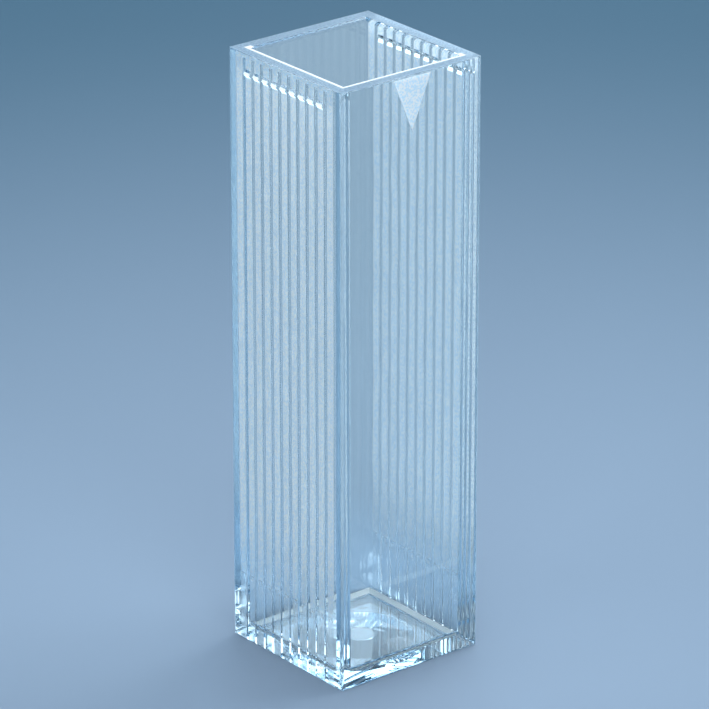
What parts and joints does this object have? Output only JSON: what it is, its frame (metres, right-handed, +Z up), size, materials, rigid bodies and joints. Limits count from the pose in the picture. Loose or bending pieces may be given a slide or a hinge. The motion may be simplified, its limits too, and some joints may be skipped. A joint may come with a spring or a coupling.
{
  "type": "cuvette",
  "caption": "Clear square sample tube moulded in one piece, with plain optical windows, grooved frosted grip walls and a raised beam pointer.",
  "frame": {"origin": "centre of the base, on the surface that the cuvette stands on", "axes": "+Z up along the tube; -Y out through the clear window that carries the beam pointer; +X and -X out through the grooved grip walls"},
  "size_m": [0.013, 0.0126, 0.045],
  "materials": {
    "clear_polystyrene": "clear and polished on the windows, inside and on the grooves; fine frosted moulding texture on the grip bands, the rim and the pointer"
  },
  "bodies": {
    "root": {"cuvette": "clear_polystyrene"}
  },
  "joints": []
}
